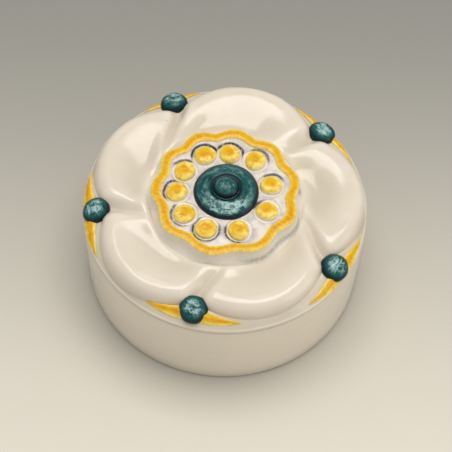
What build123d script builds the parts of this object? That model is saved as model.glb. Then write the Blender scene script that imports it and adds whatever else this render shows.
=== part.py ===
from build123d import *

import os
from math import cos, radians, sin

# A round glazed box for seal paste: a plain dish, the cake of paste in it, and a
# lid with a five-petalled flower, beads and leaves in relief. Millimetres, +Z up,
# origin at the middle of the foot.

# Dish
box_radius = 40.0
seam_height = 27.6
dish_taper = 1.0
base_edge_radius = 0.6
foot_setback = 2.4
foot_width = 3.2
foot_lift = 0.7
foot_slope_width = 1.0
arris_radius = 0.5
dish_wall = 4.5
dish_floor = 4.4
dish_corner_radius = 5.0
mouth_edge_radius = 0.6

# Cake of paste
paste_gap = 0.3
paste_edge_drop = 9.2
paste_crown_rise = 3.8
paste_slope_width = 15.2
paste_round_radius = 26.0
paste_edge_round = 1.6

# Lid
lid_fit_gap = 0.6
lid_flange_width = 2.6
lid_flange_depth = 3.0
lid_flange_round = 0.8
lid_wall = 2.6
lid_rim_height = 2.3
lid_rim_round = 1.2
ledge_width = 6.6
ledge_rise = 1.5
ceiling_round = 9.0
ceiling_slope_width = 9.3

# Petals of the lid
petal_height = 7.0
petal_setbacks = (0.1, 0.1, 0.1, 2.0, 0.8)
petal_notch_inset = 6.8
petal_corner_radius = 5.2
petal_roll_radius = 3.6
saucer_depth = 2.7
saucer_rim_inset = 5.5
crease_depth = 0.4

# Beads round the rim, one in each notch between two petals
rim_bead_azimuths = (187.0, 116.0, 43.0, 328.0, 258.0)
rim_bead_place_shares = (1.0, 1.005, 0.99, 1.0, 0.975)
rim_bead_inset = 4.0
rim_bead_radius = 4.4
rim_bead_sink = 1.7
rim_bead_trim = 0.2

# Leaves, two to a rim bead
leaf_rise = 1.0
leaf_root_turn = 4.0
leaf_tip_turns = (21.0, 13.0, 18.5, 19.5, 21.0)
leaf_root_inset = 2.3
leaf_middle_inset = 1.7
leaf_tip_inset = 0.9
leaf_root_width = 4.0
leaf_middle_width = 2.4

# Scalloped disc in the middle of the flower
disc_radius = 21.0
disc_notch_depth = 1.0
disc_lobe_azimuths = (116.5, 84.0, 48.0, 17.0, -24.5, -58.0, -102.5, -143.0, -180.0, -213.0)
disc_foot_flare = 2.0
disc_edge_height = 1.2
disc_thickness = 5.0
band_width = 2.9
band_setback = 0.2
band_thickness = 0.8
band_round = 0.3

# Beads of the rosette, in a ring of sockets in the disc
rosette_bead_azimuths = (118.0, 87.0, 53.5, 12.5, 334.0, 288.5, 248.0, 214.5, 182.5, 151.5)
rosette_bead_place_shares = (1.0, 0.95, 1.01, 0.97, 0.98, 0.97, 0.99, 1.02, 1.02, 1.0)
rosette_bead_share = 0.15
rosette_bead_height = 2.2
rosette_bead_margin = 1.45
socket_gap = 0.3
socket_depth = 0.4

# Boss and its nub
boss_margin = 0.8
boss_side_height = 0.9
boss_height = 2.8
boss_shoulder_share = 0.83
boss_shoulder_height = 2.1
boss_ring_share = 0.46
boss_ring_depth = 0.6
boss_round = 0.8
nub_gap = 0.5
nub_height = 2.2

# One overrun for every cut
overrun = 1.0

# Radii worked out from the sizes above
base_radius = box_radius - dish_taper
foot_outer_radius = base_radius - foot_setback
foot_inner_radius = foot_outer_radius - foot_width
well_radius = box_radius - dish_wall
paste_radius = well_radius - paste_gap
flange_outer_radius = well_radius - lid_fit_gap
flange_inner_radius = flange_outer_radius - lid_flange_width
ceiling_radius = flange_inner_radius - ceiling_slope_width
ledge_radius = box_radius - ledge_width
petal_notch_radius = box_radius - petal_notch_inset
saucer_rim_radius = box_radius - saucer_rim_inset
rim_bead_ring_radius = box_radius - rim_bead_inset
disc_seat_radius = disc_radius + disc_foot_flare
petal_root_radius = disc_radius - band_width - band_width
rosette_bead_radius = disc_radius * rosette_bead_share
rosette_bead_ring_radius = (
    disc_radius - band_setback - band_width - rosette_bead_radius - rosette_bead_margin
)
boss_radius = rosette_bead_ring_radius - rosette_bead_radius - boss_margin
boss_shoulder_radius = boss_radius * boss_shoulder_share
boss_ring_radius = boss_radius * boss_ring_share
nub_radius = boss_ring_radius - nub_gap

# Heights worked out from the sizes above
floor_height = foot_lift + dish_floor
paste_edge_height = seam_height - paste_edge_drop
paste_crown_height = paste_edge_height + paste_crown_rise
lid_rim_top = seam_height + lid_rim_height
ledge_height = lid_rim_top + ledge_rise
petal_top_height = seam_height + petal_height
disc_seat_height = petal_top_height - saucer_depth
crease_height = disc_seat_height - crease_depth
disc_top_height = disc_seat_height + disc_thickness
boss_top_height = disc_top_height + boss_height
nub_seat_height = boss_top_height - boss_ring_depth


def polar(radius, azimuth, height=0):
    """Point at a radius, an azimuth in degrees and a height."""
    turn = radians(azimuth)
    return Vector(radius * cos(turn), radius * sin(turn), height)


def turned(*corners):
    """Solid turned about the upright axis from (radius, height, corner rounding) rows."""
    points = [(radius, 0, height) for radius, height, rounding in corners]
    roundings = [rounding for radius, height, rounding in corners]
    outline = FilletPolyline(*points, radius=roundings, close=True)
    return revolve(make_face(outline), Axis.Z)


def one_solid(shape):
    """The largest solid of a cut, without the crumbs that a cut can leave."""
    return max(shape.solids(), key=lambda solid: solid.volume)


def ledge_at(radius):
    """Height of the sloping ledge of the lid at a radius."""
    return lid_rim_top + ledge_rise * (box_radius - radius) / (box_radius - ledge_radius)


def base_dish():
    """Dish with a low foot ring, a round-bottomed well and a flat mouth for the lid."""
    return turned(
        (0, foot_lift, 0),
        (foot_inner_radius - foot_slope_width, foot_lift, 0),
        (foot_inner_radius, 0, 0),
        (foot_outer_radius, 0, 0),
        (base_radius, 0, base_edge_radius),
        (box_radius, seam_height, arris_radius),
        (well_radius, seam_height, mouth_edge_radius),
        (well_radius, floor_height, dish_corner_radius),
        (0, floor_height, 0),
    )


def seal_paste():
    """Cake of paste that fills the well to a low crown."""
    return turned(
        (0, floor_height, 0),
        (paste_radius, floor_height, dish_corner_radius),
        (paste_radius, paste_edge_height, paste_edge_round),
        (paste_radius - paste_slope_width, paste_crown_height, paste_round_radius),
        (0, paste_crown_height, 0),
    )


def beyond_root(edge):
    """Whether an edge of a petal lies outside its root, which the disc covers."""
    middle = edge.center()
    return Vector(middle.X, middle.Y).length > petal_root_radius + overrun


def petal(start, end, reach):
    """Pad with rolled edges between the notches at two azimuths in degrees, out to a reach."""
    middle = (start + end) / 2
    walls = [
        Line(polar(petal_root_radius, start), polar(petal_notch_radius, start)),
        ThreePointArc(
            polar(petal_notch_radius, start),
            polar(reach, middle),
            polar(petal_notch_radius, end),
        ),
        Line(polar(petal_notch_radius, end), polar(petal_root_radius, end)),
        ThreePointArc(
            polar(petal_root_radius, end),
            polar(petal_root_radius, middle),
            polar(petal_root_radius, start),
        ),
    ]
    plan = make_face(Wire(walls))
    pad = extrude(Pos(0, 0, seam_height) * plan, petal_top_height - seam_height)
    corners = [edge for edge in pad.edges().filter_by(Axis.Z) if beyond_root(edge)]
    pad = fillet(corners, petal_corner_radius)
    rolled = [edge for edge in pad.edges().group_by(Axis.Z)[-1] if beyond_root(edge)]
    return fillet(rolled, petal_roll_radius)


def lid_body():
    """Lid as one lump, before it is hollowed: ledge and five petals, dished to the middle."""
    body = turned(
        (0, seam_height, 0),
        (box_radius, seam_height, arris_radius),
        (box_radius, lid_rim_top, lid_rim_round),
        (ledge_radius, ledge_height, 0),
        (disc_seat_radius, crease_height, 0),
        (disc_seat_radius, disc_seat_height, 0),
        (0, disc_seat_height, 0),
    )
    for index, start in enumerate(rim_bead_azimuths):
        following = rim_bead_azimuths[(index + 1) % len(rim_bead_azimuths)]
        sweep = (start - following) % 360
        body = body + petal(start - sweep, start, box_radius - petal_setbacks[index])
    saucer = turned(
        (0, disc_seat_height, 0),
        (disc_seat_radius, disc_seat_height, 0),
        (saucer_rim_radius, petal_top_height, 0),
        (saucer_rim_radius, petal_top_height + overrun, 0),
        (0, petal_top_height + overrun, 0),
    )
    return body - saucer


def lid_shell(body):
    """Lid with its hollow and the flange that drops into the mouth of the dish."""
    ceiling_height = crease_height - lid_wall
    shoulder_height = ledge_height - lid_wall
    flange_foot = seam_height - lid_flange_depth
    flange = turned(
        (flange_inner_radius, flange_foot, lid_flange_round),
        (flange_outer_radius, flange_foot, lid_flange_round),
        (flange_outer_radius, seam_height + overrun, 0),
        (flange_inner_radius, seam_height + overrun, 0),
    )
    hollow = turned(
        (0, flange_foot - overrun, 0),
        (flange_inner_radius, flange_foot - overrun, 0),
        (flange_inner_radius, shoulder_height, 0),
        (ceiling_radius, ceiling_height, ceiling_round),
        (0, ceiling_height, 0),
    )
    return one_solid(body - hollow + flange)


def rim_bead_ball(index):
    """Whole ball of one rim bead, sunk a little in the ledge."""
    radius = rim_bead_ring_radius * rim_bead_place_shares[index]
    azimuth = rim_bead_azimuths[index]
    place = polar(radius, azimuth, ledge_at(radius) - rim_bead_sink)
    ball = Location(place) * Rot(0, 0, azimuth) * Sphere(rim_bead_radius)
    rim = Cylinder(box_radius - rim_bead_trim, 2 * petal_height)
    return ball & Pos(0, 0, seam_height + petal_height) * rim


def leaf(index, side, lump):
    """Tapered leaf on the ledge beside a rim bead, seated on the lid and on the bead."""
    start = rim_bead_azimuths[index]
    root = start + side * leaf_root_turn
    end = start + side * leaf_tip_turns[index]
    middle = (root + end) / 2
    tip = polar(box_radius - leaf_tip_inset, end)
    root_radius = box_radius - leaf_root_inset
    middle_radius = box_radius - leaf_middle_inset
    inner_root = polar(root_radius - leaf_root_width / 2, root)
    outer_root = polar(root_radius + leaf_root_width / 2, root)
    plan = make_face(Wire([
        Line(outer_root, inner_root),
        ThreePointArc(inner_root, polar(middle_radius - leaf_middle_width / 2, middle), tip),
        ThreePointArc(tip, polar(middle_radius + leaf_middle_width / 2, middle), outer_root),
    ]))
    blank = extrude(Pos(0, 0, seam_height) * plan, petal_top_height - seam_height)
    skin = turned(
        (0, seam_height, 0),
        (box_radius, seam_height, 0),
        (box_radius, lid_rim_top + leaf_rise, 0),
        (ledge_radius, ledge_height + leaf_rise, 0),
        (0, ledge_height + leaf_rise, 0),
    )
    return one_solid((blank & skin) - lump - rim_bead_ball(index))


def scalloped_face(lobe_radius, notch_radius, height):
    """Face with an outline of round lobes, each lobe an arc between two notches."""
    following = disc_lobe_azimuths[1:] + (disc_lobe_azimuths[0] - 360,)
    notches = [(lobe + after) / 2 for lobe, after in zip(disc_lobe_azimuths, following)]
    starts = [notches[-1] + 360] + notches[:-1]
    arcs = [
        ThreePointArc(
            polar(notch_radius, start, height),
            polar(lobe_radius, (start + end) / 2, height),
            polar(notch_radius, end, height),
        )
        for start, end in zip(starts, notches)
    ]
    return make_face(Wire(arcs))


def rosette_bead_place(index):
    """Middle of one socket on the top of the disc."""
    radius = rosette_bead_ring_radius * rosette_bead_place_shares[index]
    return Location(polar(radius, rosette_bead_azimuths[index], disc_top_height))


def scalloped_disc():
    """Disc with ten lobes and a shallow socket for each bead of the rosette."""
    neck_radius = disc_radius - disc_notch_depth
    disc = extrude(scalloped_face(disc_radius, neck_radius, disc_seat_height), disc_thickness)
    disc = disc + turned(
        (0, disc_seat_height, 0),
        (disc_seat_radius, disc_seat_height, 0),
        (neck_radius, disc_top_height - disc_edge_height, 0),
        (0, disc_top_height - disc_edge_height, 0),
    )
    for index in range(len(rosette_bead_azimuths)):
        socket = Cylinder(rosette_bead_radius + socket_gap, 2 * socket_depth)
        disc = disc - rosette_bead_place(index) * socket
    return disc


def scalloped_band():
    """Wavy band that lies on the edge of the disc."""
    lobe = disc_radius - band_setback
    notch = lobe - disc_notch_depth
    outer = extrude(scalloped_face(lobe, notch, disc_top_height), band_thickness)
    inner = extrude(
        scalloped_face(lobe - band_width, notch - band_width, disc_top_height),
        band_thickness,
    )
    band = outer - inner
    return fillet(band.edges().group_by(Axis.Z)[-1], band_round)


def rosette_bead(index):
    """Domed bead that stands in its socket."""
    bead = turned(
        (0, 0, 0),
        (rosette_bead_radius, 0, 0),
        (rosette_bead_radius, rosette_bead_height, rosette_bead_height - socket_depth),
        (0, rosette_bead_height, 0),
    )
    return rosette_bead_place(index) * Pos(0, 0, -socket_depth) * bead


def centre_boss():
    """Domed boss with a sunk seat for its nub."""
    return turned(
        (0, disc_top_height, 0),
        (boss_radius, disc_top_height, 0),
        (boss_radius, disc_top_height + boss_side_height, boss_round),
        (boss_shoulder_radius, disc_top_height + boss_shoulder_height, boss_round),
        (boss_ring_radius, boss_top_height, 0),
        (boss_ring_radius, nub_seat_height, 0),
        (0, nub_seat_height, 0),
    )


def centre_nub():
    """Small round-topped nub in the seat of the boss."""
    return turned(
        (0, nub_seat_height, 0),
        (nub_radius, nub_seat_height, 0),
        (nub_radius, nub_seat_height + nub_height, nub_height - nub_gap),
        (0, nub_seat_height + nub_height, 0),
    )


def write(name, shape):
    """Write one piece to its own file, named after the piece."""
    shape.label = name
    export_step(shape, "parts/" + name + ".step")


os.makedirs("parts", exist_ok=True)
lump = lid_body()
write("base_dish", base_dish())
write("seal_paste", seal_paste())
write("lid_shell", lid_shell(lump))
write("scalloped_disc", scalloped_disc())
write("scalloped_band", scalloped_band())
write("centre_boss", centre_boss())
write("centre_nub", centre_nub())
for number in range(len(rosette_bead_azimuths)):
    write("rosette_bead_%02d" % (number + 1), rosette_bead(number))
for number in range(len(rim_bead_azimuths)):
    write("rim_bead_%d" % (number + 1), one_solid(rim_bead_ball(number) - lump))
    write("leaf_%d_left" % (number + 1), leaf(number, 1, lump))
    write("leaf_%d_right" % (number + 1), leaf(number, -1, lump))
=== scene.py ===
import math

import bpy
import numpy as np
from mathutils import Matrix, Vector


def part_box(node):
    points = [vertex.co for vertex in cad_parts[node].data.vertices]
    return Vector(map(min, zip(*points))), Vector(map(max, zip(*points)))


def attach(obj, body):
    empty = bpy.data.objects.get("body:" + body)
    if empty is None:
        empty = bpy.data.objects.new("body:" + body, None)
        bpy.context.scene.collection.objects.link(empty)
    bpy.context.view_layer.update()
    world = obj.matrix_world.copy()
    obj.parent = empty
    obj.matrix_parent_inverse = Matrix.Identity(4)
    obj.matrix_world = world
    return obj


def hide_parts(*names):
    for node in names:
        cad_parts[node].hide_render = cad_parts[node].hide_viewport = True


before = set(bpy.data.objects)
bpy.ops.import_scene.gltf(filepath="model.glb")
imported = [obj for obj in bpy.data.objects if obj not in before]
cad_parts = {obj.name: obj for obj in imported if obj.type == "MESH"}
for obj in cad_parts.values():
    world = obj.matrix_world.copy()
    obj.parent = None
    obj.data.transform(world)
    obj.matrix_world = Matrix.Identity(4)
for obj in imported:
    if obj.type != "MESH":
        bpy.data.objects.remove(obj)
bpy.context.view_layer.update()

bl_info = {
    "name": "Seal Paste Box",
    "version": (1, 0, 0),
    "blender": (4, 5, 0),
    "location": "3D View > Sidebar > Seal Box",
    "description": "Glazed box for seal paste with a flower lid in relief",
    "category": "Object",
}

MM = 0.001
SEED = 7
# How close to a height a row counts as lying on it
NEAR = 0.05 * MM

# Places read from the frame, in metres
LID_LOW, LID_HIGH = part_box("lid_shell")
DISH_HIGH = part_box("base_dish")[1]
DISC_LOW, DISC_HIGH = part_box("scalloped_disc")
BAND_LOW, BAND_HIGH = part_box("scalloped_band")
BOSS_LOW, BOSS_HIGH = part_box("centre_boss")
NUB_LOW, NUB_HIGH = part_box("centre_nub")
PASTE_LOW, PASTE_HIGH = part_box("seal_paste")
BOX_RADIUS = LID_HIGH.x
SEAM = DISH_HIGH.z
PETAL_TOP = LID_HIGH.z
DISC_SEAT = DISC_LOW.z
DISC_BED = DISC_SEAT - 0.2 * MM
RIM_BEADS = ["rim_bead_%d" % number for number in range(1, 6)]
ROSETTE_BEADS = ["rosette_bead_%02d" % number for number in range(1, 11)]

# The same sizes as the solids have
BASE_TAPER = 1.0 * MM
BASE_EDGE = 0.6 * MM
FOOT_SETBACK = 2.4 * MM
FOOT_WIDTH = 3.2 * MM
FOOT_LIFT = 0.7 * MM
FOOT_SLOPE = 1.0 * MM
ARRIS = 0.5 * MM
DISH_WALL = 4.5 * MM
DISH_CORNER = 5.0 * MM
MOUTH_EDGE = 0.6 * MM
LID_FIT_GAP = 0.6 * MM
FLANGE_WIDTH = 2.6 * MM
FLANGE_ROUND = 0.8 * MM
LID_WALL = 2.6 * MM
CEILING_SLOPE_WIDTH = 9.3 * MM
RIM_RISE = 2.3 * MM
LEDGE_WIDTH = 6.6 * MM
LEDGE_RISE = 1.5 * MM
PETAL_SETBACKS = np.array((0.1, 0.1, 0.1, 2.0, 0.8)) * MM
PETAL_NOTCH = BOX_RADIUS - 6.8 * MM
DISC_RADIUS = 21.0 * MM
LOBE_AZIMUTHS = (116.5, 84.0, 48.0, 17.0, -24.5, -58.0, -102.5, -143.0, -180.0, -213.0)
SOCKET_DEPTH = 0.4 * MM
BOSS_RING_DEPTH = 0.6 * MM
LEAF_TIP_TURNS = (21.0, 13.0, 18.5, 19.5, 21.0)

# Sizes of the softer, hand-worked forms here, which the solids have plainer
RIM_ROUND = 0.5 * MM
RIM_MARGIN = 0.3 * MM
RIM_DROP = 1.6 * MM
BED_RAMP = 1.4 * MM
CEILING_SINK = 0.4 * MM
CEILING_ROUND = 1.0 * MM
THROWING_DEPTH = 0.008 * MM
THROWING_PITCH = 4.3 * MM
LEDGE_BELLY = 0.25 * MM
LEDGE_FALL = 1.4 * MM
LEDGE_FALL_WIDTH = 1.8 * MM
LOBE_DEPTH = 1.5 * MM
DISC_EDGE = 0.5 * MM
RIM_BEAD_RADIUS = 4.1 * MM
RIM_BEAD_HEIGHT = 2.9 * MM
RIM_BEAD_TILT = math.radians(17.0)
RIM_BEAD_SINK = 0.1 * MM
BOSS_RING_SHARE = 0.41
NUB_SINK = 0.3 * MM
BAND_SINK = 0.45 * MM
LEAF_ROOT_TURN = 3.0
LEAF_ROOT_RADII = np.array((38.1, 38.4, 38.1, 38.2, 36.7)) * MM
LEAF_TIP_RADII = np.array((39.5, 39.4, 39.2, 39.1, 38.2)) * MM
LEAF_ROOT_WIDTHS = np.array((3.5, 3.0, 3.0, 2.9, 3.1)) * MM
LEAF_LEAST = 0.12 * MM
LEAF_KEEL_BELOW = 0.5 * MM
LEAF_LIFT = 0.15 * MM
# How far each crease curls anticlockwise by the disc, in degrees, in the order of the rim beads' nodes
CREASE_CURLS = (10.0, 32.0, 5.0, 23.0, 12.0)
# The dish of a petal: how far in from the roll it is deepest, and how it starts beside a crease
DISHED_WIDTH = 12.0 * MM
CREASE_REST = 1.5 * MM
CREASE_WIDTH = 8.0 * MM
# The roll at a petal's outline: the power of its superellipse, how far it runs under the ledge, and
# the width over which the corner between the two is rounded
ROLL_FULLNESS = 2.3
ROLL_SINK = 0.3 * MM
LEDGE_CORNER = 0.9 * MM
# The fillet at the left of the disc: the radius where it is highest, and how high it is there
FILLET_RADIUS = 22.0 * MM
FILLET_RISE = 0.9 * MM

# Drawn line round each rosette bead: its middle and its run either way, in degrees, and how dark it is
INK_ARCS = np.array((
    (108.0, 105.0, 1.00), (72.0, 105.0, 1.00), (55.0, 75.0, 0.75), (80.0, 65.0, 0.85),
    (140.0, 45.0, 0.95), (222.0, 80.0, 0.95), (250.0, 150.0, 0.90), (205.0, 95.0, 0.80),
    (140.0, 100.0, 0.95), (100.0, 65.0, 0.80)))
# The line's distance from a bead and how much it strays, and the groove that it leaves
INK_GAP = 0.62 * MM
INK_STRAY = 0.12 * MM
INK_GROOVE = 0.22 * MM
# Radius inside which the boss hides the disc, and how far the wash reaches from a bead's middle
DISC_INNER = BOSS_HIGH.x - 1.0 * MM
WASH_REACH = 6.6 * MM
# The paste: room for its ridges under the crown, its fall towards the edge and at it, and its side
PASTE_HEADROOM = 0.8 * MM
PASTE_FALL = 3.6 * MM
PASTE_EDGE_FALL = 2.2 * MM
PASTE_SIDE_DROP = 6.8 * MM
PASTE_RIDGE = 0.35 * MM
PASTE_LUMP = 0.22 * MM
PASTE_RIDGE_PITCH = 3.6 * MM

# Radius of the last ring before a pole, and the rings of each flat underside as shares of its radius
POLE_RADIUS = 1.0 * MM
DISC_UNDER = np.array([[0.9], [0.4], [0.05]])
BOSS_UNDER = np.array([[0.85], [0.3], [0.05]])
DOME_UNDER = np.array([[0.8], [0.3], [0.05]])

# The camera, and the name, place, size, power and colour of each light
CAMERA_AIM = Vector((0.5 * MM, 0.0, 18.6 * MM))
CAMERA_DISTANCE = 0.624
CAMERA_ELEVATION = math.radians(58.84)
CAMERA_ROLL = math.radians(2.55)
CAMERA_LENS = 173.9
LIGHT_AIM = Vector((0.0, 0.0, 0.02))
LIGHTS = (
    ("overhead", (0.03, 0.11, 0.62), (0.46, 0.30), 2.02, (1.0, 0.985, 0.95)),
    ("side", (0.72, -0.25, 0.24), (0.5, 0.6), 1.1, (1.0, 0.98, 0.95)),
)
WORLD_COLOUR = (0.95, 0.97, 1.0, 1.0)
WORLD_STRENGTH = 0.66
FLOOR_REACH = 1.5


def length(name, description, default):
    """A length property."""
    return bpy.props.FloatProperty(
        name=name, description=description, default=default, min=0.0, unit="LENGTH")


class SealBoxSizes(bpy.types.PropertyGroup):
    """Sizes of the modelled relief."""

    petal_roll: length("Petal roll", "Width of the rolled outer edge of a petal", 4.3 * MM)
    crease_roll: length("Crease roll", "Width of the slope beside a crease", 4.0 * MM)
    crease_depth: length("Crease depth", "Depth of a crease where it meets the disc", 0.9 * MM)
    notch_depth: length("Notch depth", "Depth of a crease where it meets its bead", 3.4 * MM)
    dish_depth: length("Dish depth", "How far the middle of a petal sinks", 2.5 * MM)
    hand_wobble: length("Hand wobble", "Unevenness of the hand-formed surfaces", 0.12 * MM)
    band_width: length("Band width", "Width of the wavy band round the disc", 2.9 * MM)
    leaf_width: bpy.props.FloatProperty(
        name="Leaf width", description="Width of the leaves as a share of the real ones",
        default=1.08, min=0.0, subtype="FACTOR")
    leaf_height: length("Leaf height", "Height of the keel of a leaf over the ledge", 1.1 * MM)


def colour(name, description, default):
    """A colour property with three channels in linear light."""
    return bpy.props.FloatVectorProperty(
        name=name, description=description, default=default,
        subtype="COLOR", size=3, min=0.0, max=1.0)


class SealBoxGlazes(bpy.types.PropertyGroup):
    """Colours of the glazes, the clay and the paste."""

    ivory: colour("Ivory glaze", "Main colour of the pale glaze", (0.665, 0.575, 0.445))
    ivory_thin: colour("Thin ivory", "Pale glaze where it thins over edges", (0.78, 0.71, 0.585))
    # Also the colour of painted shade on the lid and the dish
    ivory_pool_and_shade: colour("Pooled ivory", "Pale glaze where it pools in hollows", (0.47, 0.42, 0.31))
    clay: colour("Bare clay", "Unglazed foot and seat", (0.62, 0.52, 0.38))
    yellow: colour("Yellow glaze", "Main colour of the yellow glaze", (0.72, 0.42, 0.005))
    yellow_thin: colour("Thin yellow", "Yellow glaze at its edges", (0.90, 0.70, 0.16))
    yellow_thick: colour("Thick yellow", "Yellow glaze where it is thick", (0.68, 0.235, 0.003))
    teal: colour("Teal glaze", "Main colour of the teal glaze", (0.003, 0.072, 0.068))
    teal_dark: colour("Dark teal", "Teal glaze where it pools", (0.0005, 0.012, 0.018))
    teal_thin: colour("Thin teal", "Teal glaze where it breaks over a dome", (0.36, 0.55, 0.51))
    ink: colour("Outline", "Dark outline drawn round the sockets", (0.022, 0.010, 0.020))
    lilac: colour("Lilac wash", "Faint wash between the beads", (0.47, 0.40, 0.42))
    paste: colour("Paste", "Cinnabar paste", (0.50, 0.018, 0.010))
    floor: colour("Floor", "Plain floor", (0.74, 0.685, 0.575))


def sizes():
    """The sizes that the panel shows."""
    return bpy.context.scene.seal_box_sizes


def glazes():
    """The colours that the panel shows."""
    return bpy.context.scene.seal_box_glazes


def smooth_step(x):
    """Zero below 0, one above 1 and a smooth cubic between."""
    t = np.clip(x, 0.0, 1.0)
    return t * t * (3.0 - 2.0 * t)


def smooth_max(a, b, width):
    """The larger of two heights, with the corner where they cross rounded over a width."""
    h = np.clip(0.5 + 0.5 * (a - b) / width, 0.0, 1.0)
    return b + (a - b) * h + width * h * (1.0 - h)


def bell(x, middle, width, power=2):
    """One at the middle, and e to the minus (distance over width) to a power away from it."""
    return np.exp(-((x - middle) / width) ** power)


def wrap(angle):
    """The same angle between minus half a turn and half a turn."""
    return np.angle(np.exp(1j * angle))


def full_turn(count):
    """Evenly spaced azimuths of a closed ring, as one row."""
    return np.linspace(0.0, math.tau, count, endpoint=False)[None, :]


def column(start, end, count, skip=0):
    """Evenly spaced values from a start to an end, as one column without its first few."""
    return np.linspace(start, end, count)[skip:, None]


def waves(points, size, seed, count=7):
    """Sum of plane sine waves of about one size in seeded directions, from about -1 to 1."""
    x, y, z = np.moveaxis(points, -1, 0)
    rng = np.random.default_rng(seed)
    total = np.zeros(x.shape)
    for _ in range(count):
        direction = rng.normal(size=3)
        direction /= np.linalg.norm(direction)
        spacing = size * rng.uniform(0.7, 1.6)
        phase = rng.uniform(0.0, math.tau)
        along = direction[0] * x + direction[1] * y + direction[2] * z
        total += np.sin(math.tau * along / spacing + phase)
    return total / math.sqrt(count * 2.0)


def box_centre(node):
    """Middle of a CAD node's box, as an array."""
    low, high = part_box(node)
    return np.array((low + high) / 2.0)


def azimuth(node):
    """Azimuth of a CAD node round the axis of the box, in radians."""
    centre = box_centre(node)
    return math.atan2(centre[1], centre[0])


def grid(x, y, z):
    """Points from three arrays that broadcast to one grid."""
    return np.stack(np.broadcast_arrays(x, y, z), axis=-1)


def polar_grid(radius, height, turn):
    """Points from radius, height and azimuth: radius times cosine, radius times sine, height."""
    return grid(radius * np.cos(turn), radius * np.sin(turn), height)


def turned(profile, turn):
    """Surface of revolution: rows of radius and height carried round the azimuths."""
    return polar_grid(profile[:, :1], profile[:, 1:], turn)


def arc_rows(centre, size, start, end, count):
    """Radius and height along an arc about a centre, from a start angle to an end angle in degrees."""
    turn = np.radians(np.linspace(start, end, count))
    return np.stack([centre[0] + size * np.cos(turn), centre[1] + size * np.sin(turn)], axis=-1)


def line_rows(start, end, count):
    """Radius and height along a straight line, without its last point."""
    share = np.linspace(0.0, 1.0, count, endpoint=False)[:, None]
    return np.array(start) * (1.0 - share) + np.array(end) * share


def make_mesh(name, rings, material, marks, caps=True):
    """Closed surface from a grid of rings, each ring closed, with a pole at the middle of each end ring.

    rings has the shape (rings, points, 3). Rings run from the top pole over the outside to the
    bottom pole and points run anticlockwise seen from above, so that faces point outwards. Without
    caps the last ring joins the first. Each mark is stored on the points under its own name.
    """
    count, columns = rings.shape[:2]
    left = np.arange(columns)
    right = np.roll(left, -1)
    low = np.arange(count - 1 if caps else count)[:, None] * columns
    high = (low + columns) % (count * columns)
    faces = np.stack([low + left, high + left, high + right, low + right], axis=-1).reshape(-1, 4).tolist()
    if caps:
        top, last = count * columns, (count - 1) * columns
        fans = grid(top, left, right), grid(top + 1, last + right, last + left)
        faces += np.concatenate(fans).tolist()
    mesh = bpy.data.meshes.new(name)
    mesh.from_pydata(with_poles(rings, caps), [], faces, shade_flat=False)
    for key, values in marks.items():
        flat = with_poles(np.broadcast_to(values, rings.shape[:2] + np.shape(values)[2:]), caps)
        kind, slot = ("FLOAT", "value") if flat.ndim == 1 else ("FLOAT_VECTOR", "vector")
        layer = mesh.attributes.new(key, kind, "POINT")
        layer.data.foreach_set(slot, flat.astype(np.float32).ravel())
    mesh.validate()
    mesh.materials.append(material)
    piece = bpy.data.objects.new(name, mesh)
    bpy.context.scene.collection.objects.link(piece)
    return piece


def with_poles(values, caps):
    """Values of a grid in one row, with the middle value of the first and of the last ring at its end."""
    flat = values.reshape((-1,) + values.shape[2:])
    return np.concatenate([flat, values[[0, -1]].mean(axis=1)]) if caps else flat


def settle(piece, body, slot, *nodes):
    """Ride a piece on its body and stand it in for CAD nodes. The slot argument is not used."""
    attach(piece, body)
    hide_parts(*nodes)


def soften(height, rounds):
    """A grid of heights after rounds of averaging each point with its neighbours, along and across."""
    soft = height.copy()
    for _ in range(rounds):
        soft[1:-1] = (soft[:-2] + 2.0 * soft[1:-1] + soft[2:]) / 4.0
        soft = (np.roll(soft, 1, axis=1) + 2.0 * soft + np.roll(soft, -1, axis=1)) / 4.0
    return soft


def relief_marks(height, rounds):
    """How hollow and how proud a grid is: its height over the softened height, each from 0 to 1."""
    full_mark = 0.12 * MM
    proud = (height - soften(height, rounds)) / full_mark
    return np.clip(-proud, 0.0, 1.0), np.clip(proud, 0.0, 1.0)


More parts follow.
